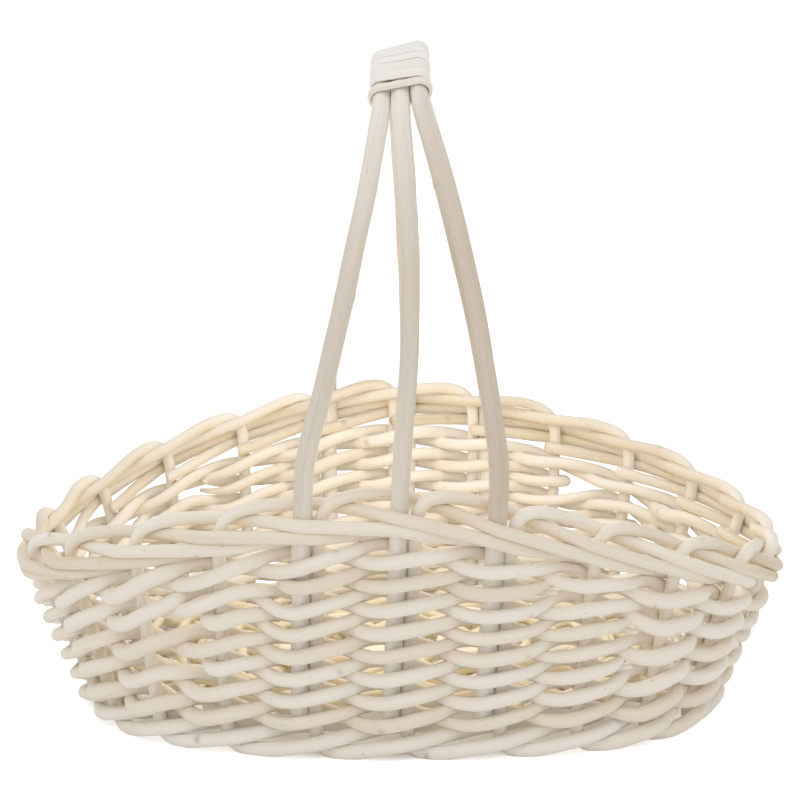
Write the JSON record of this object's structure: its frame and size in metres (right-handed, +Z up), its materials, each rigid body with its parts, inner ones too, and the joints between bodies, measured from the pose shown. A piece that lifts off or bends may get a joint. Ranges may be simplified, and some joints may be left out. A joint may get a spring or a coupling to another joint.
{
  "type": "mushroom foraging basket",
  "caption": "Oval mushroom foraging basket of peeled white willow, with an open woven wall, a saddle-shaped rim and a wrapped bow handle over its middle",
  "frame": {"origin": "middle of the basket on the surface it stands on", "axes": "+X along the long side, to the right of the picture; +Y from the front to the back, in the plane of the handle; +Z up"},
  "size_m": [0.4049, 0.2858, 0.3414],
  "materials": {
    "peeled_willow": "matte peeled willow rods",
    "base_willow": "matte peeled willow sticks",
    "handle_willow": "smooth thick peeled willow rods",
    "skein_willow": "smooth split willow skein"
  },
  "bodies": {
    "root": {"base_weaver_1": "base_willow", "base_weaver_2": "base_willow", "collar_back": "skein_willow", "collar_front": "skein_willow", "cross_stick_1": "base_willow", "cross_stick_2": "base_willow", "cross_stick_3": "base_willow", "cross_stick_4": "base_willow", "cross_stick_5": "base_willow", "grip_wrap": "skein_willow", "handle_bow_1": "handle_willow", "handle_bow_2": "handle_willow", "handle_bow_3": "handle_willow", "long_stick_1": "base_willow", "long_stick_2": "base_willow", "long_stick_3": "base_willow", "row_1": "peeled_willow", "row_2": "peeled_willow", "row_3_back": "peeled_willow", "row_3_front": "peeled_willow", "row_4": "peeled_willow", "row_5_back": "peeled_willow", "row_5_front": "peeled_willow", "row_6": "peeled_willow", "row_7_back": "peeled_willow", "row_7_front": "peeled_willow", "row_8": "peeled_willow", "stake_01": "peeled_willow", "stake_02": "peeled_willow", "stake_03": "peeled_willow", "stake_04": "peeled_willow", "stake_05": "peeled_willow", "stake_06": "peeled_willow", "stake_07": "peeled_willow", "stake_08": "peeled_willow", "stake_09": "peeled_willow", "stake_10": "peeled_willow", "stake_11": "peeled_willow", "stake_12": "peeled_willow", "stake_13": "peeled_willow", "stake_14": "peeled_willow", "stake_15": "peeled_willow", "stake_16": "peeled_willow", "stake_17": "peeled_willow", "stake_18": "peeled_willow", "stake_19": "peeled_willow", "stake_20": "peeled_willow", "stake_21": "peeled_willow", "stake_22": "peeled_willow", "stake_23": "peeled_willow", "stake_24": "peeled_willow"}
  },
  "joints": []
}
